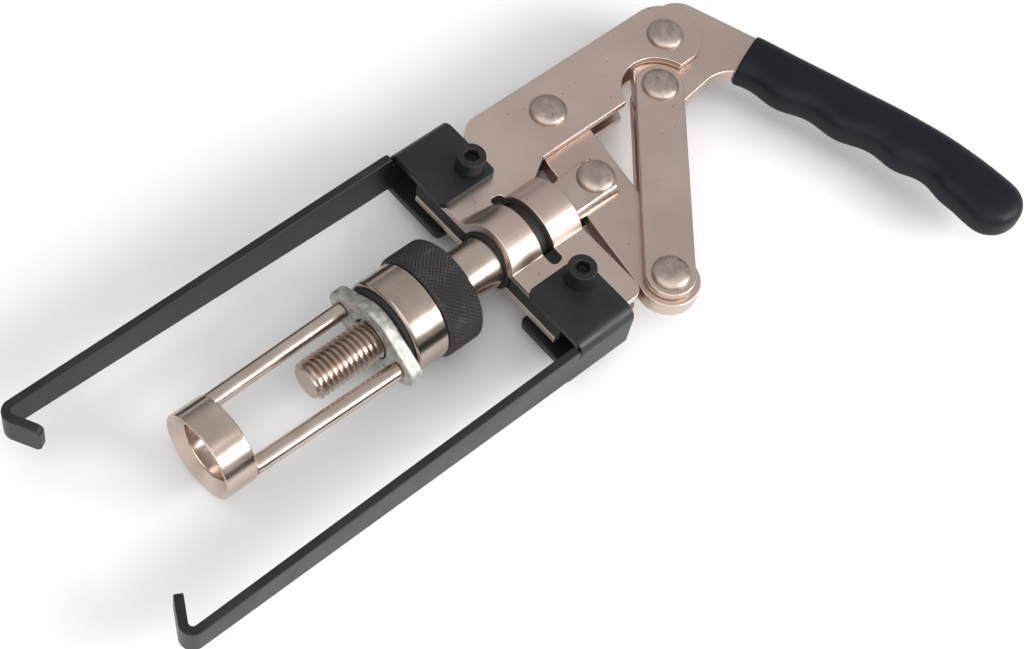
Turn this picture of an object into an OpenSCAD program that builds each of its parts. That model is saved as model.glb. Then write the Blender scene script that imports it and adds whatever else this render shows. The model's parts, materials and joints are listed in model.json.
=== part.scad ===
// Valve spring compressor with two hooked legs, a toggle handle and a screw-adjusted pressing cage.
// Millimetres. The plunger axis is X and points towards the hooks. Z is up out of the flat tool.
// The origin is in the middle of the pressing ring, where the cone of its mouth meets its bore.

/* [Plunger] */
// Diameter of the round plunger shaft
shaft_d = 16; // [14:0.5:18]
// Diameter of the threaded stud in the plunger's nose
stud_d = 12; // [10:0.5:12]
// Distance from the origin back to the tip of the stud
stud_tip = 33.9; // [32:0.1:37]
// Distance from the origin back to the shaft's shoulder
shaft_shoulder = 79.4; // [78:0.1:81]
// Depth of the stud in the shaft
stud_depth = 14; // [10:1:20]
// Radius of the fork's round end, about the plunger pin
fork_tail = 6.2; // [6:0.1:8]
// Height of the milled flats of the fork, measured across both
fork_flats = 11.4; // [10.4:0.2:12]

/* [Frame plates] */
// Thickness of the sheet that the frame plates and links are stamped from
sheet = 2.5; // [2:0.1:3]
// Width of the arm that carries the two fixed pivots
arm_w = 22.8; // [20:0.2:24]
// Distance of the two fixed pivots from the plunger axis
arm_y = 26; // [25:0.5:27]
// Distance from the origin back to the front edge of the plates
plate_front = 98.9; // [98.4:0.1:99.4]
// Length of the half tube that is pressed into each plate
tube_len = 27.1; // [26:0.1:28]
// Thickness of the black liner between the plunger and the half tubes
liner_t = 1.25; // [1:0.05:1.6]
// Reach of the lower flange from the plunger axis
flange_reach = 36.8; // [35:0.2:37]
// Rounding of the flange corners
flange_round = 4; // [2:0.5:6]
// Radius of the fillet between the arm and the rear end of the half tube
arm_fillet = 4.5; // [2:0.5:5]
// Width of the curved slot across the half tube
slot_w = 2.9; // [2:0.1:3.5]
// Radius of the hollow that clears the link where it meets the arm
hollow_r = 12; // [11.5:0.1:12.5]

/* [Linkage] */
// Thickness of the lever and of the handle plate
lever_t = 5.2; // [5:0.2:6.4]
// Distance of the handle pivot behind the origin
handle_pivot_x = 194.9; // [194.4:0.1:196.4]
// Distance of the lever pivot behind the origin
lever_pivot_x = 145.9; // [145.4:0.1:146.4]
// Length of the crank on the handle plate, pivot to link
crank_len = 19.7; // [19.5:0.1:20.5]
// Angle of the crank from the plunger axis when the toggle is locked
crank_angle = 41.3; // [40:0.1:43]
// Length of the links between pivot centres
link_len = 66.9; // [66:0.1:67.5]
// Angle of the links from the plunger axis when the toggle is locked
link_angle = 48.6; // [48:0.1:49.5]
// Width of the links
link_w = 14.8; // [14.6:0.1:15.4]
// Radius of the lever's round ends
lever_r = 9.3; // [8.8:0.1:10]
// Distance of the plunger pin ahead of the lever pivot, along the plunger axis
pin_lead = 5; // [4.5:0.1:5.5]
// Radius of the handle plate round its pivot
handle_r = 10.4; // [10:0.1:10.8]
// Radius of the handle plate's end at the links
crank_r = 7.2; // [6.6:0.1:7.2]
// Radius of the hollow in the handle ahead of the grip's mouth
neck_hollow = 12; // [10:0.5:14]
// Diameter of the rivet heads
rivet_head_d = 11.4; // [10:0.2:11.8]
// Height of the rivet heads
rivet_head_h = 2.2; // [1.2:0.1:2.6]
// Diameter of the rivets
rivet_d = 7; // [6:0.2:8]
// Diameter of the rivet between the links and the lever
link_rivet_d = 5; // [4:0.2:5.2]

/* [Grip] */
// Length of the dipped grip along its back
grip_len = 100; // [94:1:104]
// Length of the straight part of the grip's back
grip_straight = 50; // [40:1:60]
// Width of the grip from its back to the middle of the finger waves
grip_w = 17.2; // [16:0.2:18]
// Thickness of the grip
grip_t = 12; // [11:0.2:14]
// Spacing of the finger waves
finger_pitch = 20.7; // [19:0.1:22]
// Height of the finger waves above and below the middle
finger_wave = 0.95; // [0:0.05:1.5]
// Extra width of the swell at the end of the grip
end_swell = 1.9; // [0:0.1:3]
// Thickness of the dip beside the steel at the grip's mouth
dip_t = 0.75; // [0.5:0.05:1.2]
// Distance of the grip's root behind the handle pivot
grip_back_by = 25.3; // [24.5:0.1:26]
// Distance of the grip's root from the handle pivot, towards the plunger axis
grip_down_by = 16.5; // [15.5:0.1:17.5]
// Angle of the grip's back from the plunger axis at its root
grip_angle = 109.4; // [108:0.2:111]
// Angle that the grip's back turns through past its straight part
grip_turn = 21.6; // [10:0.2:24]

/* [Legs] */
// Distance between the outer faces of the two legs
legs_span = 81.8; // [80:0.2:84]
// Thickness of the leg strip
leg_t = 2.4; // [2:0.1:2.8]
// Length of the clip that holds a leg to the plates
clip_len = 20; // [18:0.5:21]
// Reach of the clip's tabs inwards, to the plunger axis
clip_inner = 18.2; // [17.5:0.1:19]
// Height of the leg strip next to the clip
leg_h_root = 15.4; // [13:0.2:16]
// Height of the leg strip at the hook
leg_h_tip = 10.2; // [9:0.2:12]
// Reach of the hooks' front faces ahead of the origin
hook_reach = 36.2; // [33:0.2:38]
// Length of the hook past its bend
hook_len = 8.6; // [7:0.1:10]
// Angle by which the hook leans back
hook_rake = 29; // [20:1:35]
// Radius inside the bend of the hook
hook_bend = 1.2; // [1:0.1:2]
// Distance of the leg screws behind the origin
leg_screw_x = 112.1; // [111:0.1:113]
// Distance of the leg screws from the plunger axis
leg_screw_y = 23.4; // [23:0.1:25]
// Diameter of the leg screws
screw_d = 5; // [4:0.5:5]
// Diameter of the screw heads
screw_head_d = 8.5; // [8:0.1:9]

/* [Adjuster and cage] */
// Outer diameter of the knurled collar
collar_d = 32.4; // [31:0.2:34]
// Length of the knurled collar
collar_len = 12; // [10:0.5:13]
// Distance from the origin back to the collar's front face
collar_front = 72.4; // [71.6:0.1:73.4]
// Diameter of the bright sleeve ahead of the collar
sleeve_d = 30; // [29:0.2:30.6]
// Length of the bright sleeve
sleeve_len = 9.8; // [9:0.2:10.4]
// Thickness of the black thrust washer
washer_t = 2; // [1:0.2:2.4]
// Thickness of the cage flange
cage_flange_t = 4; // [3:0.2:4.4]
// Radius of the middle of the cage flange
cage_hub_r = 11.4; // [10.5:0.1:12]
// Radius of the ears of the cage flange
cage_ear_r = 4.8; // [4:0.1:5.5]
// Spacing of the two rods where they leave the flange
rod_spread = 24.2; // [23.6:0.1:25]
// Diameter of the rods
rod_d = 4; // [3.4:0.1:4]
// Outer diameter of the pressing ring
ring_d = 26.6; // [26:0.2:28]
// Bore of the pressing ring
ring_bore = 17.6; // [16:0.2:17.8]
// Length of the pressing ring
ring_len = 10; // [9:0.5:13]
// Depth of the cone in the mouth of the ring
ring_cone = 2.6; // [1:0.1:4]
// Width of the flat lip that is left outside the cone
ring_lip = 0.7; // [0.4:0.1:2]
// Depth of the rods' sockets in the back of the ring
rod_socket = 3; // [2:0.2:4]

/* [Hidden] */

$fn = 96;
// Radial play of a shaft that turns or slides in a hole
run = 0.05;
// Play between flat faces that slide on each other
side = 0.2;
// Play between flat faces that rest on each other
touch = 0.1;
// Play of pieces that are pushed together and stay
seat = 0.02;
// Play around a shaft that only passes through
pass = 0.35;
cut = 1;
// Least overlap or gap that keeps two faces apart
hair = 0.01;

plate_in = lever_t / 2 + side;
plate_out = plate_in + sheet;
tab_in = plate_out + touch;
tab_out = tab_in + leg_t;
shaft_r = shaft_d / 2;
tube_in = shaft_r + run + liner_t;
tube_r = tube_in + sheet;
rivet_r = rivet_d / 2;

handle_pivot = [-handle_pivot_x, -arm_y];
lever_pivot = [-lever_pivot_x, -arm_y];
crank_pin = handle_pivot + crank_len * [cos(crank_angle), sin(crank_angle)];
lever_end = crank_pin + link_len * [cos(link_angle), sin(link_angle)];
plunger_pin_x = -lever_pivot_x + pin_lead;
tube_back = -plate_front - tube_len;
nut_front = -collar_front + sleeve_len;
washer_front = nut_front + touch + washer_t;
flange_back = washer_front + touch;
nut_spigot_r = shaft_r + pass + 3;
rod_in = ring_bore / 2 + (ring_d - ring_bore) / 4;
ring_back = ring_cone - ring_len;
leg_screws_at = [[-leg_screw_x, -leg_screw_y], [-leg_screw_x, leg_screw_y]];
grip_root = handle_pivot + [-grip_back_by, grip_down_by];

// Turns a piece that is drawn along Z so that it lies along X, its base at the given place
module along_x(x) {
    translate([x, 0, 0])
        rotate([0, 90, 0])
            children();
}

// Flat web between two round ends, its sides a hair inside their common tangents
module tangent_web(p, q, rp, rq) {
    d = norm(q - p);
    heading = atan2(q[1] - p[1], q[0] - p[0]);
    lean = acos((rp - rq) / d);
    up = [cos(lean), sin(lean)];
    down = [cos(lean), -sin(lean)];
    translate(p)
        rotate(heading)
            polygon([(rp - hair) * up, [d, 0] + (rq - hair) * up,
                [d, 0] + (rq - hair) * down, (rp - hair) * down]);
}

// Flat bar with two round ends
module tapered_bar(p, q, rp, rq) {
    union() {
        tangent_web(p, q, rp, rq);
        translate(p)
            circle(rp);
        translate(q)
            circle(rq);
    }
}

// Solid bar of a given thickness with two round ends
module thick_bar(p, q, rp, rq, t) {
    linear_extrude(t)
        tangent_web(p, q, rp, rq);
    translate(p)
        cylinder(r = rp, h = t);
    translate(q)
        cylinder(r = rq, h = t);
}

// Rectangle between two corners with all four corners rounded
module round_box(a, b, r) {
    for (x = [a[0] + r, b[0] - r], y = [a[1] + r, b[1] - r])
        translate([x, y])
            circle(r);
    translate([a[0] + r, a[1]])
        square([b[0] - a[0] - 2 * r, b[1] - a[1]]);
    translate([a[0], a[1] + r])
        square([b[0] - a[0], b[1] - a[1] - 2 * r]);
}

// Layer of flat sheet in front of the middle plane
module front_sheet() {
    translate([0, 0, plate_in])
        linear_extrude(sheet)
            children();
}

// Rivet along Z at a place, with a low domed head at each end
module rivet(at, r, head_r, grip) {
    dome_h = rivet_head_h - 0.4;
    dome_r = (head_r * head_r + dome_h * dome_h) / (2 * dome_h);
    translate([at[0], at[1], 0]) {
        cylinder(r = r, h = 2 * grip, center = true);
        for (flip = [0, 1])
            mirror([0, 0, flip])
                intersection() {
                    translate([0, 0, grip])
                        cylinder(r = head_r, h = rivet_head_h);
                    translate([0, 0, grip + rivet_head_h - dome_r])
                        sphere(dome_r);
                }
    }
}

// Outline of a frame plate: the arm, and a flange each side of the plunger
module plate_outline() {
    arm_r = arm_w / 2;
    arm_nose = [tube_back + 1.5, -arm_y];
    difference() {
        union() {
            tapered_bar(handle_pivot, arm_nose, arm_r, arm_r);
            translate([tube_back, -arm_y - arm_r + 4])
                square([tube_len, arm_y + arm_r - 4]);
            round_box([tube_back, -2 * flange_round], [-plate_front, flange_reach], flange_round);
            translate([tube_back, -tube_r])
                square([tube_len, 2 * tube_r]);
            difference() {
                translate([tube_back - arm_fillet, arm_r - arm_y - touch])
                    square(arm_fillet + touch);
                translate([tube_back - arm_fillet, arm_r - arm_y + arm_fillet])
                    circle(arm_fillet);
            }
        }
        translate(crank_pin + [1, 1.4])
            circle(hollow_r);
        for (at = [handle_pivot, lever_pivot])
            translate(at)
                circle(rivet_r + seat);
        for (at = leg_screws_at)
            translate(at)
                circle(screw_d / 2 + seat);
    }
}

// Curved slot across the half tube, with round ends in the flanges
module tube_slot() {
    slot_x = -leg_screw_x;
    ends = [-tube_r + 0.6, tube_r + 1.7];
    translate([slot_x - slot_w / 2, ends[0], plate_in - cut])
        cube([slot_w, ends[1] - ends[0], tube_r + cut]);
    for (y = ends)
        translate([slot_x, y, plate_in - cut])
            cylinder(d = slot_w, h = tube_r + cut);
}

// Stamped frame plate with a half tube pressed into it
module frame_plate() {
    color([0.72, 0.66, 0.63])
        difference() {
            union() {
                front_sheet()
                    plate_outline();
                intersection() {
                    along_x(tube_back)
                        cylinder(r = tube_r, h = tube_len);
                    translate([tube_back, -tube_r, plate_in])
                        cube([tube_len, 2 * tube_r, tube_r]);
                }
            }
            along_x(tube_back - cut)
                cylinder(r = tube_in, h = tube_len + 2 * cut);
            tube_slot();
        }
}

module front_plate() {
    frame_plate();
}

module rear_plate() {
    mirror([0, 0, 1])
        frame_plate();
}

// Black liner that guides the plunger in the tube
module guide_bush() {
    color([0.08, 0.08, 0.08])
        along_x(tube_back)
            difference() {
                cylinder(r = tube_in - seat, h = tube_len);
                translate([0, 0, -cut])
                    cylinder(r = shaft_r + run, h = tube_len + 2 * cut);
            }
}

// Black blocks on the leg screws that keep the two plates apart, one each side of the liner
module plate_spacers() {
    back = -leg_screw_x - 0.34 * clip_len;
    front = -plate_front - pass;
    inner = tube_in + pass;
    outer = flange_reach - flange_round - 2;
    color([0.06, 0.06, 0.06])
        for (flip = [0, 1])
            mirror([0, flip, 0])
                difference() {
                    translate([back, inner, -plate_in])
                        cube([front - back, outer - inner, 2 * plate_in]);
                    translate([-leg_screw_x, leg_screw_y, -plate_in - cut])
                        cylinder(r = screw_d / 2 + seat, h = 2 * (plate_in + cut));
                }
}

// Hex socket cap screws through the legs and plates
module leg_screws() {
    head_h = screw_d;
    nut_h = 0.8 * screw_d;
    color([0.12, 0.12, 0.13])
        for (at = leg_screws_at)
            translate([at[0], at[1], 0])
                difference() {
                    union() {
                        translate([0, 0, tab_out])
                            cylinder(d = screw_head_d, h = head_h);
                        translate([0, 0, -tab_out - nut_h - 1])
                            cylinder(d = screw_d, h = 2 * tab_out + nut_h + 1 + cut);
                    }
                    translate([0, 0, tab_out + head_h / 2])
                        cylinder(d = 0.8 * screw_d / cos(30), h = head_h, $fn = 6);
                }
}

// Hex nuts under the legs
module leg_nuts() {
    nut_h = 0.8 * screw_d;
    color([0.12, 0.12, 0.13])
        for (at = leg_screws_at)
            translate([at[0], at[1], -tab_out - nut_h])
                difference() {
                    cylinder(d = 1.6 * screw_d / cos(30), h = nut_h, $fn = 6);
                    translate([0, 0, -cut])
                        cylinder(r = screw_d / 2 + seat, h = nut_h + 2 * cut);
                }
}

// Clip of the leg: a tab above, a wall outside and a tab below, folded round the plates
module clip() {
    wall = legs_span / 2;
    bend = leg_t;
    back = -leg_screw_x - 0.28 * clip_len;
    difference() {
        union() {
            translate([back, clip_inner, -tab_out])
                cube([clip_len, wall - bend - clip_inner, 2 * tab_out]);
            translate([back, clip_inner, -tab_out + bend])
                cube([clip_len, wall - clip_inner, 2 * (tab_out - bend)]);
            for (up = [-1, 1])
                translate([0, wall - bend, up * (tab_out - bend)])
                    along_x(back)
                        cylinder(r = bend, h = clip_len);
        }
        translate([back - cut, clip_inner - cut, -tab_in])
            cube([clip_len + 2 * cut, wall - leg_t - clip_inner + cut, 2 * tab_in]);
    }
}

// Side outline of the leg strip: full height at the clip, then tapering to the hook
module leg_side() {
    strip_end = hook_reach - leg_t - hook_bend + 10 * hair;
    clip_front = -leg_screw_x + 0.72 * clip_len;
    polygon([[clip_front - 4, -tab_out + leg_t], [clip_front, -leg_h_root / 2],
        [strip_end, -leg_h_tip / 2], [strip_end, leg_h_tip / 2],
        [clip_front, leg_h_root / 2], [clip_front - 4, tab_out - leg_t]]);
}

// Hooked end of the leg strip, bent inwards and leaning back, with round corners at its tip
module hook() {
    bend_out = hook_bend + leg_t;
    turn = 90 + hook_rake;
    tip_round = 2.2;
    translate([hook_reach - bend_out, legs_span / 2 - bend_out, 0])
        rotate(90 - turn) {
            rotate_extrude(angle = turn)
                translate([hook_bend, -leg_h_tip / 2])
                    square([leg_t, leg_h_tip]);
            translate([hook_bend, -hook_len + tip_round, -leg_h_tip / 2])
                cube([leg_t, hook_len - tip_round, leg_h_tip]);
            translate([hook_bend, -hook_len, -leg_h_tip / 2 + tip_round])
                cube([leg_t, hook_len, leg_h_tip - 2 * tip_round]);
            for (up = [-1, 1])
                translate([hook_bend, -hook_len + tip_round, up * (leg_h_tip / 2 - tip_round)])
                    rotate([0, 90, 0])
                        cylinder(r = tip_round, h = leg_t);
        }
}

// Leg: clip, strip and hook bent from one piece
module leg() {
    color([0.1, 0.1, 0.1])
        difference() {
            union() {
                clip();
                translate([0, legs_span / 2, 0])
                    rotate([90, 0, 0])
                        linear_extrude(leg_t)
                            leg_side();
                hook();
            }
            translate([-leg_screw_x, leg_screw_y, -2 * tab_out])
                cylinder(r = screw_d / 2 + run, h = 4 * tab_out);
        }
}

module upper_leg() {
    mirror([0, 1, 0])
        leg();
}

module lower_leg() {
    leg();
}

module handle_pivot_rivet() {
    color([0.75, 0.7, 0.66])
        rivet(handle_pivot, rivet_r, rivet_head_d / 2, plate_out);
}

module lever_pivot_rivet() {
    color([0.75, 0.7, 0.66])
        rivet(lever_pivot, rivet_r, rivet_head_d / 2, plate_out);
}

module link_top_rivet() {
    color([0.75, 0.7, 0.66])
        rivet(crank_pin, rivet_r, rivet_head_d / 2, plate_out);
}

module link_bottom_rivet() {
    color([0.75, 0.7, 0.66])
        rivet(lever_end, link_rivet_d / 2, rivet_head_d / 2, plate_out);
}

// Direction of the grip's back at a distance from its root
function grip_heading(s) =
    grip_angle - grip_turn * max(0, s - grip_straight) / (grip_len - grip_straight);

// Place on the grip's back at a distance from its root: straight at first, then along an arc
function grip_back(s) =
    let (bow = (grip_len - grip_straight) / (grip_turn * PI / 180))
    let (turned = [sin(grip_angle) - sin(grip_heading(s)), cos(grip_heading(s)) - cos(grip_angle)])
    grip_root + min(s, grip_straight) * [cos(grip_angle), sin(grip_angle)] + bow * turned;

// Half the width of the grip at a distance from its root
function grip_half(s) =
    let (wave = finger_wave * cos(360 * (s - 0.74 * finger_pitch) / finger_pitch))
    let (fade = min(1, max(0, (grip_len - 14 - s) / 14)))
    (grip_w + wave * fade + end_swell * (1 - fade)) / 2;

// Middle of the grip at a distance from its root
function grip_middle(s) =
    grip_back(s) + grip_half(s) * [sin(grip_heading(s)), -cos(grip_heading(s))];

// Steel of the handle: round ends at both pivots, a heel, and a tang that runs on into the grip
module handle_steel(t) {
    heel = handle_pivot + handle_r * [-0.865, -0.173];
    heel_r = 0.79 * handle_r;
    root_r = grip_half(0) - dip_t;
    neck_r = 0.33 * grip_w;
    tip_r = 0.27 * grip_w;
    tang_start = grip_middle(2);
    tang_end = grip_middle(0.72 * grip_len);
    grip_mouth = grip_middle(0) + root_r * [sin(grip_angle), -cos(grip_angle)];
    hollow_at = grip_mouth + neck_hollow * [cos(grip_angle - 60), sin(grip_angle - 60)];
    hollow_low = hollow_at - [0, neck_hollow];
    difference() {
        union() {
            thick_bar(handle_pivot, crank_pin, handle_r, crank_r, t);
            thick_bar(heel, tang_start, heel_r, root_r, t);
            translate(tang_end)
                cylinder(r = tip_r, h = t);
            linear_extrude(t)
                tangent_web(handle_pivot, heel, handle_r, heel_r);
            linear_extrude(t)
                tangent_web(tang_start, tang_end, neck_r, tip_r);
            linear_extrude(t)
                polygon([handle_pivot, crank_pin, crank_pin + [0, 1.1 * crank_r], hollow_low,
                    grip_mouth, tang_start, heel]);
        }
        translate([hollow_at[0], hollow_at[1], -cut])
            cylinder(r = neck_hollow, h = t + 2 * cut);
    }
}

module handle_plate() {
    color([0.72, 0.66, 0.63])
        translate([0, 0, -lever_t / 2])
            difference() {
                handle_steel(lever_t);
                for (at = [handle_pivot, crank_pin])
                    translate([at[0], at[1], -cut])
                        cylinder(r = rivet_r + run, h = lever_t + 2 * cut);
            }
}

// Round pad with a full edge, one step of the grip
module grip_pad(s) {
    edge = grip_t / 2 - 0.4;
    r = grip_half(s) - edge;
    translate([grip_middle(s)[0], grip_middle(s)[1], 0])
        rotate_extrude($fn = 32) {
            translate([r, 0])
                scale([1, grip_t / 2 / edge])
                    intersection() {
                        circle(edge, $fn = 24);
                        translate([0, -edge])
                            square(2 * edge);
                    }
            translate([0, -grip_t / 2])
                square([r, grip_t]);
        }
}

// Dipped grip with finger waves along one side, its mouth cut square across the tang
module handle_grip() {
    steps = 20;
    first = grip_half(0);
    last = grip_len - grip_half(grip_len);
    at = [for (i = [0:steps]) -first + (last + first) * i / steps];
    color([0.05, 0.06, 0.09])
        difference() {
            for (i = [1:steps])
                hull() {
                    grip_pad(at[i - 1]);
                    grip_pad(at[i]);
                }
            translate([grip_root[0], grip_root[1], -grip_t])
                rotate(grip_angle)
                    translate([-40, -40, 0])
                        cube([40, 80, 2 * grip_t]);
            translate([0, 0, -lever_t / 2 - seat])
                handle_steel(lever_t + 2 * seat);
        }
}

// Flat link between the handle's crank and the lever's end
module link() {
    color([0.74, 0.68, 0.65])
        translate([0, 0, plate_in])
            difference() {
                thick_bar(crank_pin, lever_end, link_w / 2, link_w / 2, sheet);
                translate([crank_pin[0], crank_pin[1], -cut])
                    cylinder(r = rivet_r + seat, h = sheet + 2 * cut);
                translate([lever_end[0], lever_end[1], -cut])
                    cylinder(r = link_rivet_d / 2 + seat, h = sheet + 2 * cut);
            }
}

module front_link() {
    link();
}

module rear_link() {
    mirror([0, 0, 1])
        link();
}

// Lever between the plates: it hangs on its pivot, drives the plunger pin and ends at the links
module lever_plate() {
    pin_r = link_rivet_d / 2 + 0.6;
    pin_at = [plunger_pin_x, 0];
    inwards = (lever_pivot - pin_at) / norm(lever_pivot - pin_at);
    link_play = 2.6;
    color([0.7, 0.64, 0.6])
        translate([0, 0, -lever_t / 2])
            difference() {
                thick_bar(lever_pivot, lever_end, lever_r, lever_r, lever_t);
                translate([lever_pivot[0], lever_pivot[1], -cut])
                    cylinder(r = rivet_r + run, h = lever_t + 2 * cut);
                translate([0, 0, -cut])
                    thick_bar(pin_at + 0.7 * inwards, pin_at - 0.2 * inwards, pin_r, pin_r,
                        lever_t + 2 * cut);
                translate([lever_end[0], lever_end[1], -cut])
                    cylinder(r = link_rivet_d / 2 + link_play, h = lever_t + 2 * cut);
            }
}

// Round plunger with a forked and flat-milled tail
module plunger_shaft() {
    tail = plunger_pin_x - fork_tail;
    shoulder = plunger_pin_x - 0.53 * fork_tail;
    fork_gap = lever_t + 2 * side;
    color([0.75, 0.7, 0.66])
        difference() {
            along_x(tail)
                cylinder(r = shaft_r, h = -shaft_shoulder - tail);
            for (up = [-1, 1])
                translate([tail - cut, -shaft_d, up > 0 ? fork_flats / 2 : -fork_flats / 2 - shaft_d])
                    cube([tube_back - 1.5 - tail + cut, 2 * shaft_d, shaft_d]);
            translate([tail - cut, -shaft_d, -fork_gap / 2])
                cube([plunger_pin_x + lever_r + 3 - tail + cut, 2 * shaft_d, fork_gap]);
            difference() {
                translate([tail - cut, -shaft_d, -shaft_d])
                    cube([shoulder - tail + cut, 2 * shaft_d, 2 * shaft_d]);
                translate([plunger_pin_x, 0, -2 * shaft_d])
                    cylinder(r = fork_tail, h = 4 * shaft_d);
            }
            translate([plunger_pin_x, 0, -shaft_d])
                cylinder(d = link_rivet_d + 2 * seat, h = 2 * shaft_d);
            along_x(-shaft_shoulder - stud_depth)
                cylinder(r = stud_d / 2 + seat, h = stud_depth + cut);
        }
}

module plunger_pin() {
    color([0.75, 0.7, 0.66])
        rivet([plunger_pin_x, 0], link_rivet_d / 2, rivet_head_d / 2, fork_flats / 2);
}

// Stud that carries the adjuster, with a chamfered tip
module threaded_stud() {
    chamfer = 1.2;
    back = -shaft_shoulder - stud_depth;
    color([0.72, 0.65, 0.58]) {
        along_x(back)
            cylinder(d = stud_d, h = -stud_tip - chamfer - back);
        along_x(-stud_tip - chamfer)
            cylinder(d1 = stud_d, d2 = stud_d - 2 * chamfer, h = chamfer);
    }
}

// Black knurled collar that turns the adjuster by hand
module knurled_collar() {
    chamfer = 1;
    back = -collar_front - collar_len;
    color([0.13, 0.12, 0.12])
        difference() {
            union() {
                along_x(back)
                    cylinder(d1 = collar_d - 2 * chamfer, d2 = collar_d, h = chamfer);
                along_x(back + chamfer)
                    cylinder(d = collar_d, h = collar_len - 2 * chamfer);
                along_x(-collar_front - chamfer)
                    cylinder(d1 = collar_d, d2 = collar_d - 2 * chamfer, h = chamfer);
            }
            along_x(back - cut)
                cylinder(r = nut_spigot_r + seat, h = collar_len + 2 * cut);
        }
}

// Bright sleeve of the adjuster nut: it runs on the stud, and its tail holds the collar
module nut_sleeve() {
    back = -collar_front - collar_len + 0.6;
    chamfer = 0.6;
    color([0.76, 0.71, 0.68])
        difference() {
            union() {
                along_x(-collar_front)
                    cylinder(d = sleeve_d, h = sleeve_len - chamfer);
                along_x(nut_front - chamfer)
                    cylinder(d1 = sleeve_d, d2 = sleeve_d - 2 * chamfer, h = chamfer);
                along_x(back)
                    cylinder(r = nut_spigot_r, h = -collar_front - back + cut);
            }
            along_x(back - cut)
                cylinder(r = stud_d / 2 + run, h = nut_front - back + 2 * cut);
            along_x(back - cut)
                cylinder(r = shaft_r + pass, h = -collar_front - back + cut);
        }
}

// Black washer between the nut and the cage
module thrust_washer() {
    color([0.07, 0.07, 0.07])
        along_x(nut_front + touch)
            difference() {
                cylinder(d = sleeve_d - 3, h = washer_t);
                translate([0, 0, -cut])
                    cylinder(r = stud_d / 2 + run, h = washer_t + 2 * cut);
            }
}

// Rods of the cage, leaning in from the flange to the ring
module rod_pair(d) {
    from = flange_back;
    to = ring_back + rod_socket;
    lean = atan2(rod_spread / 2 - rod_in, to - from);
    for (flip = [0, 1])
        mirror([0, flip, 0])
            translate([from, rod_spread / 2, 0])
                rotate([0, 90, -lean])
                    cylinder(d = d, h = to - from);
}

// Outline of the cage flange: a round middle with a tangent ear each side
module flange_outline() {
    ear = rod_spread / 2 + 0.8;
    lean = acos((cage_hub_r - cage_ear_r) / ear);
    tangent = [cos(lean), sin(lean)];
    hub = cage_hub_r * tangent;
    tip = [ear, 0] + cage_ear_r * tangent;
    circle(cage_hub_r);
    for (side_y = [-ear, ear])
        translate([side_y, 0])
            circle(cage_ear_r);
    polygon([tip, hub, [-hub[0], hub[1]], [-tip[0], tip[1]],
        -tip, -hub, [hub[0], -hub[1]], [tip[0], -tip[1]]]);
}

// Cage flange: a round middle on the stud, and an ear for each rod
module cage_flange() {
    color([0.68, 0.68, 0.65])
        difference() {
            translate([flange_back, 0, 0])
                rotate([90, 0, 90])
                    linear_extrude(cage_flange_t)
                        flange_outline();
            along_x(flange_back - cut)
                cylinder(r = stud_d / 2 + pass, h = cage_flange_t + 2 * cut);
            rod_pair(rod_d + 0.2);
        }
}

module cage_rods() {
    color([0.75, 0.7, 0.66])
        rod_pair(rod_d);
}

// Ring that presses on the spring retainer, its front dished to a cone
module pressing_ring() {
    color([0.76, 0.7, 0.66])
        difference() {
            along_x(ring_back)
                cylinder(d = ring_d, h = ring_len);
            along_x(ring_back - cut)
                cylinder(d = ring_bore, h = ring_len + 2 * cut);
            along_x(0)
                cylinder(d1 = ring_bore, d2 = ring_d - 2 * ring_lip, h = ring_cone + hair);
            rod_pair(rod_d + 2 * seat);
        }
}

front_plate();
rear_plate();
guide_bush();
plate_spacers();
leg_screws();
leg_nuts();
upper_leg();
lower_leg();
handle_pivot_rivet();
lever_pivot_rivet();
handle_plate();
handle_grip();
front_link();
rear_link();
link_top_rivet();
link_bottom_rivet();
lever_plate();
plunger_shaft();
plunger_pin();
threaded_stud();
knurled_collar();
nut_sleeve();
thrust_washer();
cage_flange();
cage_rods();
pressing_ring();
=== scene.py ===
import json
import math

import bmesh
import bpy
from mathutils import Matrix, Vector


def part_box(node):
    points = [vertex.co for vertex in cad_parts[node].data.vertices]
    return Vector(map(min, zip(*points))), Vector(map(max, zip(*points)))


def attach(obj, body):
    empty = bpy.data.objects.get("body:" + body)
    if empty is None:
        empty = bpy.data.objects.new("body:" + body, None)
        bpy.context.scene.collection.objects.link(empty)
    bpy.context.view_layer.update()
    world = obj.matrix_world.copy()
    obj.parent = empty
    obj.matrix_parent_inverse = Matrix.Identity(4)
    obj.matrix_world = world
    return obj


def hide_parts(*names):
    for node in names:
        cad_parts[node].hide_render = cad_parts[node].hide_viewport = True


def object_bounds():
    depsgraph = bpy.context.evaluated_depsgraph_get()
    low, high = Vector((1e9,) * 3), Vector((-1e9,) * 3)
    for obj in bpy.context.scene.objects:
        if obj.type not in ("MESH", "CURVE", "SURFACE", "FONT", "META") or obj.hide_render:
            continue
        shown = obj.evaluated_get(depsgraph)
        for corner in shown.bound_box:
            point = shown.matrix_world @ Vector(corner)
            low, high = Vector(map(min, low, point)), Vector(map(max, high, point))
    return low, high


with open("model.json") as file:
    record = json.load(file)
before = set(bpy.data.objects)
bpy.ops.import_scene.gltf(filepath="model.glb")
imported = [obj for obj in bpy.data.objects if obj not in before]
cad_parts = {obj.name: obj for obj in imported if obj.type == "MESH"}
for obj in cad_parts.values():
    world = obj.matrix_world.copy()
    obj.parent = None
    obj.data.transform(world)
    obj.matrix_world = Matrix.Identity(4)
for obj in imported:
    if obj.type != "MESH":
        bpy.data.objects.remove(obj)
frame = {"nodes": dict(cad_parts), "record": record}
solid_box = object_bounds()
solids = frame["nodes"]
record = frame["record"]
bodies = record["behaviour"]["bodies"]
body_of = {node: body for body, group in bodies.items() for node in group}
MM = 0.001


# Finishes

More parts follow.
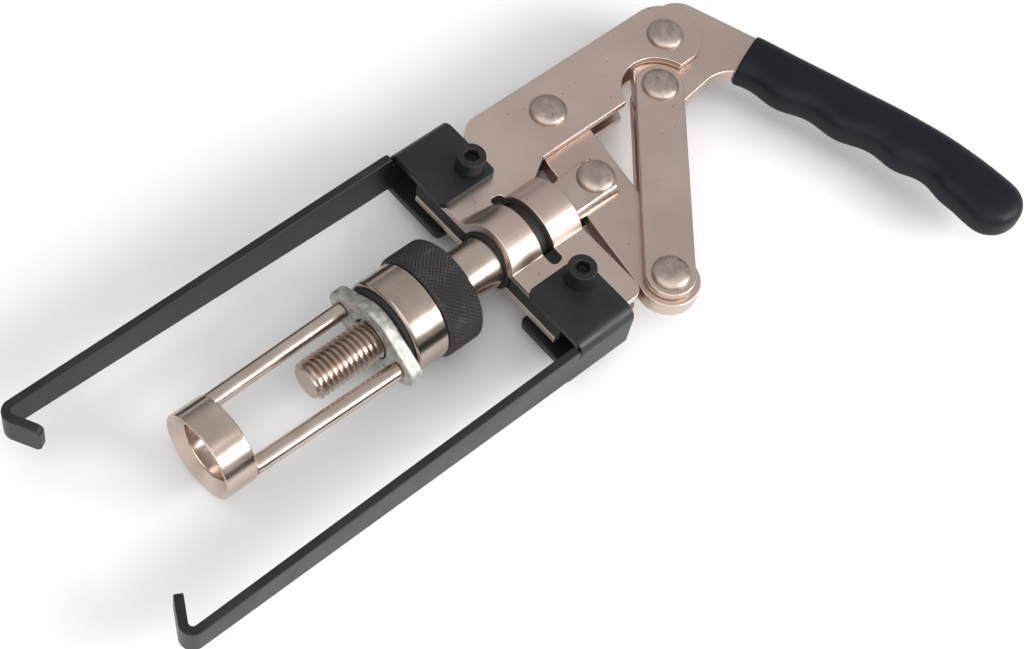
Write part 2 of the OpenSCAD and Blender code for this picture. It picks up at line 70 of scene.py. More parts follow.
class Level:
    """A number or colour that varies over a surface: one shader socket with ordinary arithmetic."""

    def __init__(self, shading, socket):
        self.shading = shading
        self.socket = socket

    def math(self, operation, first, second=0.0):
        return self.shading.node("Math", {"operation": operation}, {0: first, 1: second})

    def __add__(self, other):
        return self.math("ADD", self, other)

    def __sub__(self, other):
        return self.math("SUBTRACT", self, other)

    def __rsub__(self, other):
        return self.math("SUBTRACT", other, self)

    def __mul__(self, other):
        return self.math("MULTIPLY", self, other)

    def __pow__(self, other):
        return self.math("POWER", self, other)

    __radd__ = __add__
    __rmul__ = __mul__

    def between(self, low, high):
        """0 below low, 1 above high, and a soft rise from one to the other."""
        return self.shading.node("MapRange", {"interpolation_type": "SMOOTHSTEP"},
                                 {"Value": self, "From Min": low, "From Max": high})


class Shading:
    """The shader nodes of one material, or of the sky."""

    def __init__(self, owner, shader, constants):
        owner.use_nodes = True
        self.nodes = owner.node_tree.nodes
        self.links = owner.node_tree.links
        self.shader = self.nodes[shader]
        for socket, value in constants.items():
            self.shader.inputs[socket].default_value = value

    def node(self, kind, settings, sockets, output=0):
        """Adds a node, sets or links its inputs, and gives one of its outputs."""
        made = self.nodes.new("ShaderNode" + kind)
        for key, value in settings.items():
            setattr(made, key, value)
        for key, value in sockets.items():
            if isinstance(value, Level):
                self.links.new(value.socket, made.inputs[key])
            else:
                made.inputs[key].default_value = value
        return Level(self, made.outputs[output])

    def axes(self, kind="Object"):
        """The three coordinates of a point, each on its own."""
        spot = self.node("TexCoord", {}, {}, kind)
        split = self.node("SeparateXYZ", {}, {"Vector": spot})
        outputs = split.socket.node.outputs
        return [Level(self, outputs[i]) for i in range(3)]

    def blend(self, amount, low, high):
        """One colour where the amount is 0, the other where it is 1."""
        return self.node("Mix", {"data_type": "RGBA"}, {0: amount, 6: low, 7: high}, 2)

    def set(self, socket, level):
        """Feeds a level to an input of the shader."""
        self.links.new(level.socket, self.shader.inputs[socket])


class Finish(Shading):
    """One finish of the tool: a Principled shader and the nodes that vary it over the surface."""

    def __init__(self, name, constants):
        self.material = bpy.data.materials.new(name)
        super().__init__(self.material, "Principled BSDF", constants)

    def place(self, stretch=(1, 1, 1), turn=0.0):
        """Coordinates for marks that run in one direction."""
        spot = self.node("TexCoord", {}, {}, "Object")
        return self.node("Mapping", {"vector_type": "TEXTURE"},
                         {"Vector": spot, "Rotation": (0, 0, turn), "Scale": stretch})

    def noise(self, size, stretch=(1, 1, 1), turn=0.0, detail=3.0):
        """Cloudy variation with features of the given size in millimetres."""
        return self.node("TexNoise", {}, {"Vector": self.place(stretch, turn),
                                          "Scale": 1 / (size * MM), "Detail": detail})

    def bump(self, height, depth):
        """Relief of the given depth in millimetres."""
        relief = {"Height": height, "Strength": 1.0, "Distance": depth * MM}
        self.set("Normal", self.node("Bump", {}, relief))


def tint(red, green, blue, tone=1.0):
    """A colour, scaled by a tone."""
    return (red * tone, green * tone, blue * tone, 1.0)


def satin_nickel(name, turn=0.0, tone=1.0):
    """Nickel plate over stamped steel: warm grey, faint rolling marks, small dark chips."""
    finish = Finish(name, {"Metallic": 1.0})
    clouds = finish.noise(26, detail=4).between(0.3, 0.72)
    streaks = finish.noise(1.1, (12, 1, 1), turn, 4)
    grain = finish.noise(0.35, detail=2)
    chips = finish.noise(1.5, detail=3).between(0.71, 0.75)
    plate = finish.blend(clouds, tint(0.595, 0.474, 0.418, tone), tint(0.67, 0.546, 0.485, tone))
    finish.set("Base Color", finish.blend(chips * 0.55, plate, tint(0.10, 0.075, 0.06)))
    finish.set("Roughness", 0.27 + 0.1 * streaks + 0.06 * clouds + 0.2 * chips)
    finish.bump(0.55 * streaks + 0.45 * grain - 0.4 * chips, 0.012)
    return finish.material


def struck_nickel(name, turn=0.0):
    """Nickel plate over a struck rivet head: mottled, with dark specks."""
    finish = Finish(name, {"Metallic": 1.0})
    dents = finish.noise(2.6, detail=3)
    mottle = dents.between(0.36, 0.66)
    specks = finish.noise(0.9, (1, 1, 1), turn, 2).between(0.66, 0.72)
    plate = finish.blend(mottle, tint(0.41, 0.335, 0.295), tint(0.50, 0.415, 0.365))
    finish.set("Base Color", finish.blend(specks * 0.7, plate, tint(0.09, 0.07, 0.06)))
    finish.set("Roughness", 0.36 + 0.1 * mottle + 0.15 * specks)
    finish.bump(dents - 0.3 * specks, 0.06)
    return finish.material


def turned_nickel(name, shine=0.16, tone=1.0):
    """Bright nickel plate over turned steel, with the fine rings that the tool left."""
    finish = Finish(name, {"Metallic": 1.0})
    x, y, z = finish.axes()
    across = x + (y * y + z * z) ** 0.5
    rings = finish.node("TexNoise", {"noise_dimensions": "1D"},
                        {"W": across, "Scale": 5200.0, "Detail": 2.0})
    clouds = finish.noise(9, detail=3).between(0.3, 0.75)
    finish.set("Base Color", finish.blend(clouds, tint(0.55, 0.445, 0.38, tone),
                                          tint(0.66, 0.545, 0.475, tone)))
    finish.set("Roughness", shine + 0.07 * rings + 0.06 * clouds)
    finish.bump(rings, 0.004)
    return finish.material


def black_paint(name):
    """Satin black paint with a light orange peel and a dusty sheen."""
    finish = Finish(name, {"Specular IOR Level": 0.4})
    peel = finish.noise(0.55, detail=2)
    dust = finish.noise(14, detail=4).between(0.35, 0.75)
    finish.set("Base Color", finish.blend(dust, tint(0.008, 0.0078, 0.0085),
                                          tint(0.016, 0.0152, 0.0155)))
    finish.set("Roughness", 0.36 + 0.1 * dust + 0.06 * peel)
    finish.bump(peel, 0.018)
    return finish.material


def black_oxide(name, tone=1.0):
    """Blackened steel, a little brown, with rubbed high spots."""
    finish = Finish(name, {"Metallic": 0.55})
    grain = finish.noise(0.5, detail=3)
    rub = finish.noise(4, detail=4).between(0.5, 0.8)
    finish.set("Base Color", finish.blend(rub, tint(0.04, 0.036, 0.037, tone),
                                          tint(0.085, 0.078, 0.078, tone)))
    finish.set("Roughness", 0.42 + 0.14 * grain)
    finish.bump(grain, 0.01)
    return finish.material


def dull_zinc(name):
    """Zinc plate gone dull: pale grey-green, with scuffed strokes."""
    finish = Finish(name, {"Metallic": 0.8})
    strokes = finish.noise(0.6, (1, 1, 5), 0.4, 4)
    clouds = finish.noise(2.2, detail=6).between(0.34, 0.68)
    finish.set("Base Color", finish.blend(clouds, tint(0.37, 0.365, 0.335), tint(0.62, 0.62, 0.58)))
    finish.set("Roughness", 0.42 + 0.16 * strokes + 0.1 * clouds)
    finish.bump(0.6 * strokes + 0.4 * clouds, 0.09)
    return finish.material


def dipped_vinyl(name):
    """Thick vinyl dip, blue-black, with a soft uneven skin."""
    finish = Finish(name, {"Specular IOR Level": 0.2})
    skin = finish.noise(0.8, detail=2)
    flow = finish.noise(11, detail=3).between(0.3, 0.75)
    finish.set("Base Color", finish.blend(flow, tint(0.0045, 0.005, 0.0095),
                                          tint(0.0065, 0.0072, 0.0128)))
    finish.set("Roughness", 0.40 + 0.1 * flow + 0.05 * skin)
    finish.bump(0.4 * skin + 0.6 * flow, 0.03)
    return finish.material


def matt_black(name):
    """Matt black: painted shade on the liner and the spacer blocks, standing in for the deep shade
    inside the tube and between the plates, and the thrust washer's own black.
    """
    finish = Finish(name, {})
    grain = finish.noise(0.6, detail=3)
    finish.set("Base Color", finish.blend(grain, tint(0.008, 0.008, 0.008),
                                          tint(0.02, 0.019, 0.018)))
    finish.set("Roughness", 0.55 + 0.2 * grain)
    finish.bump(grain, 0.02)
    return finish.material


arm_nickel = satin_nickel("arm_nickel")
link_nickel = satin_nickel("link_nickel", math.radians(48.6), 0.96)
lever_nickel = satin_nickel("lever_nickel", math.radians(80), 0.92)
handle_nickel = satin_nickel("handle_nickel", math.radians(20), 0.98)
rivet_nickel = struck_nickel("rivet_nickel", turn=0.6)
bright_nickel = turned_nickel("bright_nickel")
shaft_nickel = turned_nickel("shaft_nickel", shine=0.17)
# The sleeve's nickel is toned down: painted shade standing in for the dark surroundings that it
# reflects
sleeve_nickel_painted_shade = turned_nickel("sleeve_nickel_painted_shade", tone=0.8)
stud_nickel = turned_nickel("stud_nickel", shine=0.22, tone=0.8)
leg_paint = black_paint("leg_paint")
collar_oxide = black_oxide("collar_oxide")
screw_oxide = black_oxide("screw_oxide", tone=0.6)
flange_zinc = dull_zinc("flange_zinc")
grip_vinyl = dipped_vinyl("grip_vinyl")
# Painted shade on the liner and the spacer blocks; the thrust washer's own matt black
matt_black_and_painted_shade = matt_black("matt_black_and_painted_shade")


# Shapes, drawn in millimetres

HARD_ANGLE = math.radians(30)
QUARTER = math.radians(90)


def fit(name, shape, node, finish, sharp=40, flat_faces=True):
    """Puts a finished shape into the scene in place of its plain solid."""
    bmesh.ops.remove_doubles(shape, verts=shape.verts, dist=0.0005)
    bmesh.ops.recalc_face_normals(shape, faces=shape.faces)
    bmesh.ops.scale(shape, vec=(MM, MM, MM), verts=shape.verts)
    for face in shape.faces:
        face.smooth = True
    mesh = bpy.data.meshes.new(name)
    shape.to_mesh(mesh)
    shape.free()
    mesh.set_sharp_from_angle(angle=math.radians(sharp))
    mesh.materials.append(finish)
    piece = bpy.data.objects.new(name, mesh)
    bpy.context.scene.collection.objects.link(piece)
    if flat_faces:
        piece.modifiers.new("flat_faces", "WEIGHTED_NORMAL").keep_sharp = True
    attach(piece, body_of[node])
    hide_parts(node)
    return piece


def extent(node):
    """Corners of a solid's box."""
    low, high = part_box(node)
    return low / MM, high / MM


def everything(shape):
    """All of a shape, as an operator takes it."""
    return shape.verts[:] + shape.edges[:] + shape.faces[:]


def verts_in(geometry):
    return [item for item in geometry if isinstance(item, bmesh.types.BMVert)]


def edges_in(geometry):
    return [item for item in geometry if isinstance(item, bmesh.types.BMEdge)]


def hard_edges(shape):
    """Edges where two faces meet at a clear angle."""
    return [edge for edge in shape.edges
            if len(edge.link_faces) == 2 and edge.calc_face_angle(0) > HARD_ANGLE]


def bevel(shape, edges, width, steps=3):
    """Rounds edges over by a width."""
    bmesh.ops.bevel(shape, geom=edges, offset=width, offset_type="OFFSET", segments=steps,
                    profile=0.5, affect="EDGES", material=-1, clamp_overlap=False, loop_slide=False)


def eased(node, width, rounds=(), gathered=(), joined=None):
    """Copy of a solid with its hard edges eased.

    Tiny edges near the gathered corners and the narrow facets that joined picks are closed up
    first, and rounds gives wider rounds for some edges."""
    shape = bmesh.new()
    shape.from_mesh(solids[node].data)
    bmesh.ops.scale(shape, vec=(1 / MM,) * 3, verts=shape.verts)
    bmesh.ops.remove_doubles(shape, verts=shape.verts, dist=0.002)
    for corner in gathered:
        near = [vert for vert in shape.verts if (vert.co - corner).length < 1.0]
        bmesh.ops.pointmerge(shape, verts=near, merge_co=corner)
    bmesh.ops.dissolve_limit(shape, angle_limit=math.radians(0.4), verts=shape.verts,
                             edges=shape.edges)
    if joined:
        facets = [edge for edge in shape.edges if joined(edge)]
        bmesh.ops.dissolve_edges(shape, edges=facets, use_verts=True)
    for picked, size in rounds:
        bevel(shape, [edge for edge in shape.edges if picked(edge)], size, 5)
    bevel(shape, hard_edges(shape), width)
    return shape


def spun(profile, steps=128, closed=True):
    """Shape turned round the plunger axis from corners of (distance along it, radius, rounding)."""
    shape = bmesh.new()
    corners = [shape.verts.new((x, r, 0)) for x, r, rounding in profile]
    pairs = list(zip(corners, corners[1:]))
    if closed:
        pairs.append((corners[-1], corners[0]))
    for pair in pairs:
        shape.edges.new(pair)
    for corner, (x, r, rounding) in zip(corners, profile):
        if rounding:
            bmesh.ops.bevel(shape, geom=[corner], offset=rounding, segments=3, profile=0.5,
                            affect="VERTICES", material=-1)
    bmesh.ops.spin(shape, geom=shape.verts[:] + shape.edges[:], cent=(0, 0, 0), axis=(1, 0, 0),
                   angle=math.tau, steps=steps, use_merge=True)
    bmesh.ops.remove_doubles(shape, verts=shape.verts, dist=0.001)
    return shape


def along_x_at(y, z, behind, reach=0.5):
    """Picks the straight edges along X near a place across the tube, ahead of the given point."""
    def picked(edge):
        a, b = (vert.co for vert in edge.verts)
        middle = (a + b) / 2
        straight = abs(a.y - b.y) < 0.01 and abs(a.z - b.z) < 0.01 and abs(a.x - b.x) > 0.5
        near = abs(middle.y - y) < reach and abs(abs(middle.z) - z) < reach
        return straight and near and middle.x > behind
    return picked


# Frame: plates, liner and spacers

TUBE_OUT, SHEET_OUT, TUBE_FRONT, TUBE_BACK = 11.8, 5.3, -98.9, -126.0
PLATE_EASE, BLEND_R = 0.3, 2.2
FACET_Y, FACET_Z, FACET_REACH = -9.75, 6.55, 1.1
SLOT_X, SLOT_HALF = -112.1, 1.45
SLOT_EDGE, SLOT_SIDE, SLOT_MORE = 0.7, 4, 1.2
DRAWN_IN, REAR_CORNER, REAR_CORNER_LEN = 1.6, 30.0, 6
SWEEP_FROM, SWEEP_LEN, SWEEP_OUT = -127.0, 7.0, 30.0
SWEEP_IN, SWEEP_MOST, SWEEP_CUTS = 2.3, 1.6, 6
FILLET_AT, FILLET_R, FILLET_RUN = Vector((-130.5, -10.1)), 4.5, 3.0
flank = math.sqrt(TUBE_OUT ** 2 - SHEET_OUT ** 2)


def filled_corner(x, y):
    """Move that turns the fillet between the arm and the tube into a straight run."""
    inward = Vector((x, y)) - FILLET_AT
    share = math.degrees(math.atan2(-inward.y, inward.x)) / 90
    if not 0 < share < 1.05 or abs(inward.length - FILLET_R) >= 0.5:
        return Vector((0, 0))
    arc = FILLET_AT + FILLET_R * inward.normalized()
    run_end = Vector((-FILLET_RUN, -FILLET_R))
    straight = FILLET_AT + Vector((FILLET_R, 0)).lerp(run_end, min(1.0, share))
    return straight - arc


def pressed_plate(node):
    """Frame plate whose half tube blends into the sheet, its front rim drawn in at the crest."""
    up = 1 if node == "front_plate" else -1
    inner_corner = Vector((TUBE_BACK, -flank, SHEET_OUT * up))
    shape = eased(node, PLATE_EASE, [(along_x_at(-flank, SHEET_OUT, SLOT_X), BLEND_R)],
                  [inner_corner], along_x_at(FACET_Y, FACET_Z, SLOT_X, FACET_REACH))
    for step in range(SWEEP_CUTS):
        bmesh.ops.bisect_plane(shape, geom=everything(shape), dist=0.001, plane_no=(1, 0, 0),
                               plane_co=(SWEEP_FROM + SWEEP_LEN * step / 4, 0, 0))
    for vert in shape.verts:
        x, y, z = vert.co
        if node == "front_plate" and y < -SWEEP_OUT and x > SWEEP_FROM:
            vert.co.y += SWEEP_IN * min(SWEEP_MOST, ((x - SWEEP_FROM) / SWEEP_LEN) ** 2)
        vert.co.xy += filled_corner(x, y)
        if x > TUBE_FRONT - 1 and abs(z) > SHEET_OUT:
            vert.co.x -= DRAWN_IN * (abs(z) - SHEET_OUT) / (TUBE_OUT - SHEET_OUT)
        elif SLOT_X - SLOT_HALF - SLOT_EDGE < x < SLOT_X and abs(y) < TUBE_OUT + SLOT_SIDE:
            vert.co.x -= SLOT_MORE * min(1.0, (SLOT_X - x) / SLOT_HALF)
        elif node == "rear_plate" and x > TUBE_FRONT - REAR_CORNER_LEN and abs(y) > REAR_CORNER:
            vert.co.y = math.copysign(REAR_CORNER, y)
    return shape


for node in ("front_plate", "rear_plate"):
    fit(node + "_pressed", pressed_plate(node), node, arm_nickel)

# The liner and the spacer blocks are matt black: painted shade for the dark inside of the tube and
# between the plates
LINER_BORE, LINER_EASE, SPACER_EASE = 8.05, 0.2, 0.4
low, high = extent("guide_bush")
fit("liner_sleeve", spun([
    (low.x, LINER_BORE, LINER_EASE), (low.x, high.z, LINER_EASE),
    (high.x, high.z, LINER_EASE), (high.x, LINER_BORE, LINER_EASE)]), "guide_bush", matt_black_and_painted_shade)
fit("spacer_blocks", eased("plate_spacers", SPACER_EASE), "plate_spacers", matt_black_and_painted_shade)


# Legs, with their screws and nuts

LEG_T, WALL_OUT, LEG_EASE, CORNER_R = 2.6, 41.2, 0.35, 2.0
TAB_TOP, TAB_LOW, TAB_END = 8.0, -10.2, 17.7
TOP_BEND, LOW_BEND = 4.0, 3.0
CLIP_BACK, CLIP_FRONT, SLIT, FLOW = -117.7, -97.4, 0.5, 3.4
ROOT_AT, ROOT_LOW, ROOT_HIGH, TIP_HALF = -84, -7.25, 7.65, 5.1
HOOK_BACK, HOOK_BEND, HOOK_TURN, HOOK_LEN = 32.4, 1.2, 119, 8.6
SEAT_TOP, SEAT_LOW, HEAD_TALLER = 7.8, -7.8, 1.2
SCREW_EASE, NUT_EASE = 0.3, 0.35


def seated(node, width):
    """Screws or nuts moved out to the faces of the folded tabs, the heads a little taller."""
    shape = eased(node, width)
    for vert in shape.verts:
        if vert.co.z > SEAT_TOP - 0.5:
            vert.co.z = TAB_TOP + (vert.co.z - SEAT_TOP) * HEAD_TALLER
        elif vert.co.z < SEAT_LOW + 0.5:
            vert.co.z += TAB_LOW - SEAT_LOW
    return shape


fit("leg_cap_screws", seated("leg_screws", SCREW_EASE), "leg_screws", screw_oxide)
fit("leg_hex_nuts", seated("leg_nuts", NUT_EASE), "leg_nuts", screw_oxide)


def face_at(shape, axis, place, way):
    """The largest flat face that looks along an axis from a place on it."""
    found = [face for face in shape.faces if face.normal[axis] * way > 0.99
             and all(abs(vert.co[axis] - place) < 0.01 for vert in face.verts)]
    return max(found, key=lambda face: face.calc_area())


def grown(shape, face, matrix):
    """Runs the sheet on from one of its end faces by one move, and gives the new end face."""
    made = bmesh.ops.extrude_face_region(shape, geom=[face])["geom"]
    bmesh.ops.transform(shape, matrix=matrix, verts=verts_in(made))
    if face.is_valid:
        bmesh.ops.delete(shape, geom=[face], context="FACES_ONLY")
    return next(item for item in made if isinstance(item, bmesh.types.BMFace))


def folded(shape, face, centre, axis, angle, reach, steps=9):
    """Folds the sheet on from one of its end faces, then runs it on straight."""
    hinge = Matrix.Translation(centre)
    step = hinge @ Matrix.Rotation(angle / steps, 4, axis) @ hinge.inverted()
    for number in range(steps):
        face = grown(shape, face, step)
    face.normal_update()
    return grown(shape, face, Matrix.Translation(face.normal * reach))


def short_edges(face):
    """The two edges across the thickness of the sheet at an end face."""
    return [edge for edge in face.edges if edge.calc_length() < LEG_T + 0.01]


def folded_leg(side):
    """Leg bent from one strip: two tabs folded round the plates, a tapering strip and a hook."""
    top, low = TAB_TOP - TOP_BEND, TAB_LOW + LOW_BEND
    slit = CLIP_FRONT + SLIT
    outline = [(CLIP_BACK, low), (CLIP_FRONT + FLOW, low), (ROOT_AT, ROOT_LOW),
               (HOOK_BACK, -TIP_HALF), (HOOK_BACK, TIP_HALF),
               (slit + 1.6, ROOT_HIGH), (slit + 0.5, ROOT_HIGH - 0.4), (slit, 6.2),
               (slit, top), (CLIP_FRONT, top), (CLIP_BACK, top)]
    shape = bmesh.new()
    wall = shape.faces.new([shape.verts.new((x, WALL_OUT, z)) for x, z in outline])
    made = bmesh.ops.extrude_face_region(shape, geom=[wall], use_keep_orig=True)["geom"]
    bmesh.ops.translate(shape, vec=(0, -LEG_T, 0), verts=verts_in(made))
    bmesh.ops.recalc_face_normals(shape, faces=shape.faces)
    hinge, low_hinge = WALL_OUT - TOP_BEND, WALL_OUT - LOW_BEND
    top_end = folded(shape, face_at(shape, 2, top, 1), (0, hinge, top), "X", QUARTER,
                     hinge - TAB_END)
    low_end = folded(shape, face_at(shape, 2, low, -1), (0, low_hinge, low), "X", -QUARTER,
                     low_hinge - TAB_END)
    for vert in shape.verts:
        if vert.co.z < low - 0.01 and CLIP_FRONT < vert.co.x < CLIP_FRONT + FLOW + 0.1:
            turned = math.atan2(low - vert.co.z, max(0.0, vert.co.y - low_hinge))
            vert.co.x = CLIP_FRONT + FLOW * (1 - math.sin(turned)) ** 1.5
    bend = (HOOK_BACK, WALL_OUT - LEG_T - HOOK_BEND, 0)
    tip = folded(shape, face_at(shape, 0, HOOK_BACK, 1), bend, "Z", -math.radians(HOOK_TURN),
                 HOOK_LEN, 14)
    corners = [edge for end in (top_end, low_end, tip) for edge in short_edges(end)]
    bevel(shape, corners, CORNER_R, 6)
    bevel(shape, hard_edges(shape), LEG_EASE)
    bmesh.ops.scale(shape, vec=(1, side, 1), verts=shape.verts)
    return shape


for node, side in (("upper_leg", -1), ("lower_leg", 1)):
    fit(node + "_strip", folded_leg(side), node, leg_paint)


# Linkage: handle, links, lever and rivets

STAMPING_EASE, LINK_EASE = 0.5, 0.45
fit("handle_stamping", eased("handle_plate", STAMPING_EASE), "handle_plate", handle_nickel)
for node in ("front_link", "rear_link"):
    fit(node + "_bar", eased(node, LINK_EASE), node, link_nickel)
fit("lever_stamping", eased("lever_plate", STAMPING_EASE), "lever_plate", lever_nickel)

HEAD_H, HEAD_RIM, HEAD_UNDERCUT, DOME_STEPS = 2.2, 0.35, 0.15, 8
THICK_SHANK, THIN_SHANK = 3.5, 2.5


def riveted(node, shank_r):
    """Rivet with a low dome over a soft rim at each end, standing along Z."""
    low, high = extent(node)
    head_r = (high.x - low.x) / 2
    seat = high.z - HEAD_H
    half = [(seat, shank_r, 0), (seat, head_r - HEAD_UNDERCUT, 0.1), (seat + HEAD_RIM, head_r, 0.2)]
    for step in range(1, DOME_STEPS + 1):
        angle = math.radians(90 * step / DOME_STEPS)
        half.append((seat + HEAD_RIM + (HEAD_H - HEAD_RIM) * math.sin(angle),
                     head_r * math.cos(angle) ** 0.9, 0))
    shape = spun([(-x, r, rounding) for x, r, rounding in reversed(half)] + half, 64, False)
    middle = (low + high) / 2
    upright = Matrix.Rotation(-QUARTER, 4, "Y")
    bmesh.ops.transform(shape, verts=shape.verts,
                        matrix=Matrix.Translation((middle.x, middle.y, 0)) @ upright)
    return shape


for node, shank in (("handle_pivot_rivet", THICK_SHANK), ("lever_pivot_rivet", THICK_SHANK),
                    ("link_top_rivet", THICK_SHANK), ("link_bottom_rivet", THIN_SHANK),
                    ("plunger_pin", THIN_SHANK)):
    fit(node + "_domed", riveted(node, shank), node, rivet_nickel, sharp=50)


# Grip: a dipped skin with finger waves

GRIP_LEN, GRIP_STRAIGHT, GRIP_W, GRIP_T = 100.0, 50.0, 17.2, 12.0
PIVOT_X, PIVOT_Y = -194.9, -26.0
GRIP_ROOT = Vector((PIVOT_X - 25.3, PIVOT_Y + 16.5))
GRIP_ANGLE, GRIP_TURN = 109.4, 21.6
FINGER_PITCH, FINGER_START, FINGER_WAVE = 20.7, 0.74, 0.95
WAVE_FADE, END_SWELL = 14, 1.9
GRIP_CORNER, MOUTH_LEN, GRIP_STEPS = 0.72, 2, 44
CAP_STEPS, CAP_ANGLE, CAP_FULLNESS = 8, 86, 0.55


def grip_heading(s):
    """Direction of the grip at a distance from its mouth."""
    bent = max(0.0, s - GRIP_STRAIGHT) / (GRIP_LEN - GRIP_STRAIGHT)
    return math.radians(GRIP_ANGLE - GRIP_TURN * bent)


def grip_half(s):
    """Half the width of the grip, with the finger waves."""
    wave = FINGER_WAVE * math.cos(math.tau * (s - FINGER_START * FINGER_PITCH) / FINGER_PITCH)
    fade = min(1.0, max(0.0, (GRIP_LEN - WAVE_FADE - s) / WAVE_FADE))
    return (GRIP_W + wave * fade + END_SWELL * (1 - fade)) / 2


def grip_middle(s):
    """Middle of the grip, worked out from its smooth back."""
    bow = (GRIP_LEN - GRIP_STRAIGHT) / math.radians(GRIP_TURN)
    start, now = math.radians(GRIP_ANGLE), grip_heading(s)
    back = GRIP_ROOT + min(s, GRIP_STRAIGHT) * Vector((math.cos(start), math.sin(start)))
    back += bow * Vector((math.sin(start) - math.sin(now), math.cos(now) - math.cos(start)))
    return back + grip_half(s) * Vector((math.sin(now), -math.cos(now)))


def grip_station(s, share=1.0, thick=1.0):
    """Place, heading and size of one cross section of the grip."""
    now = grip_heading(s)
    middle = grip_middle(s)
    across = Vector((math.sin(now), -math.cos(now), 0)) * grip_half(s) * share
    up = Vector((0, 0, GRIP_T / 2 * thick))
    ahead = Vector((math.cos(now), math.sin(now), 0))
    section = Matrix((across, up, ahead)).transposed().to_4x4()
    return Matrix.Translation((middle.x, middle.y, 0)) @ section


def dipped_grip():
    """Skin drawn through the cross sections, from a rolled-in mouth to a round end."""
    shape = bmesh.new()
    bmesh.ops.create_grid(shape, x_segments=1, y_segments=1, size=1)
    bmesh.ops.bevel(shape, geom=shape.verts[:], offset=GRIP_CORNER, segments=6, profile=0.5,
                    affect="VERTICES", material=-1)
    stations = [grip_station(1.2, 0.80, 0.62), grip_station(0.0, 0.9, 0.8),
                grip_station(0.0, 0.97, 0.94), grip_station(0.7, 1.0, 1.0)]
    cap = grip_half(GRIP_LEN)
    last = GRIP_LEN - cap
    for i in range(GRIP_STEPS + 1):
        stations.append(grip_station(MOUTH_LEN + (last - MOUTH_LEN) * i / GRIP_STEPS))
    for i in range(1, CAP_STEPS + 1):
        angle = math.radians(CAP_ANGLE * i / CAP_STEPS)
        stations.append(grip_station(last + cap * math.sin(angle), math.cos(angle),
                                     math.cos(angle) ** CAP_FULLNESS))
    ring = mouth = shape.edges[:]
    bmesh.ops.delete(shape, geom=shape.faces[:], context="FACES_ONLY")
    here = Matrix.Identity(4)
    for number, station in enumerate(stations):
        if number:
            ring = edges_in(bmesh.ops.extrude_edge_only(shape, edges=ring)["geom"])
        verts = list({vert for edge in ring for vert in edge.verts})
        bmesh.ops.transform(shape, verts=verts, matrix=station @ here.inverted())
        here = station
    bmesh.ops.edgeloop_fill(shape, edges=ring)
    bmesh.ops.edgeloop_fill(shape, edges=mouth)
    return shape


grip = fit("grip_dip", dipped_grip(), "handle_grip", grip_vinyl, sharp=80, flat_faces=False)
grip_smooth = grip.modifiers.new("smooth", "SUBSURF")
grip_smooth.levels = 1
grip_smooth.render_levels = 1


# Plunger and stud

SHAFT_EASE = 0.4
fit("plunger_turned", eased("plunger_shaft", SHAFT_EASE), "plunger_shaft", shaft_nickel)

PITCH, STUD_R, ROOT_R = 1.75, 6.0, 4.95
STUD_BACK, STUD_CHAMFER, TURN_STEPS = -81.0, 1.2, 48


def threaded(back, tip):
    """Stud with a real right-hand thread, coned at its tip."""
    shape = bmesh.new()
    turns = math.ceil((tip - back) / PITCH) + 3
    rib = [(-0.5, ROOT_R), (-0.38, ROOT_R), (-0.07, STUD_R),
           (0.07, STUD_R), (0.38, ROOT_R), (0.5, ROOT_R)]
    corners = [shape.verts.new((back - PITCH + along * PITCH, r, 0)) for along, r in rib]
    for pair in zip(corners, corners[1:]):
        shape.edges.new(pair)
    bmesh.ops.spin(shape, geom=shape.verts[:] + shape.edges[:], cent=(0, 0, 0), axis=(1, 0, 0),
                   dvec=(PITCH / TURN_STEPS, 0, 0), angle=math.tau * turns,
                   steps=TURN_STEPS * turns)
    bmesh.ops.remove_doubles(shape, verts=shape.verts, dist=0.002)
    for x, side in ((back, -1), (tip, 1)):
        cut = bmesh.ops.bisect_plane(shape, geom=everything(shape), dist=0.001, plane_co=(x, 0, 0),
                                     plane_no=(side, 0, 0), clear_outer=True)
        bmesh.ops.holes_fill(shape, edges=edges_in(cut["geom_cut"]), sides=0)
    for vert in shape.verts:
        limit = STUD_R - STUD_CHAMFER + max(0.0, tip - vert.co.x)
        reach = math.hypot(vert.co.y, vert.co.z)
        if reach > limit:
            vert.co.y *= limit / reach
            vert.co.z *= limit / reach
    return shape


low, high = extent("threaded_stud")
fit("threaded_stud_cut", threaded(STUD_BACK, high.x), "threaded_stud", stud_nickel, sharp=30,
    flat_faces=False)


# Adjuster: collar, sleeve and thrust washer

KNURLS, KNURL_ROWS, KNURL_DEPTH = 144, 14, 0.4
COLLAR_BORE, COLLAR_CHAMFER, COLLAR_PLAIN = 11.37, 1.1, 1


def knurled(node):
    """Collar with a cut diamond knurl between two chamfers."""
    low, high = extent(node)
    back, front, r = low.x, high.x, high.z
    row_len = (front - back - 2 * COLLAR_PLAIN) / KNURL_ROWS
    first = back + COLLAR_PLAIN
    wall = [(first + row_len * i, r, 0) for i in range(KNURL_ROWS + 1)]
    shape = spun([(back, COLLAR_BORE, 0.3), (back, r - COLLAR_CHAMFER, 0.2)] + wall
                 + [(front, r - COLLAR_CHAMFER, 0.2), (front, COLLAR_BORE, 0.3)], KNURLS)
    valleys = []
    for vert in shape.verts:
        reach = math.hypot(vert.co.y, vert.co.z)
        if reach < r - 0.02:
            continue
        column = round(math.atan2(vert.co.z, vert.co.y) / math.tau * KNURLS)
        row = round((vert.co.x - first) / row_len)
        if (column + row) % 2:
            vert.co.y *= 1 - KNURL_DEPTH / reach
            vert.co.z *= 1 - KNURL_DEPTH / reach
            valleys.append(vert)
    bmesh.ops.connect_verts(shape, verts=valleys)
    return shape


fit("collar_knurled", knurled("knurled_collar"), "knurled_collar", collar_oxide, sharp=12,
    flat_faces=False)

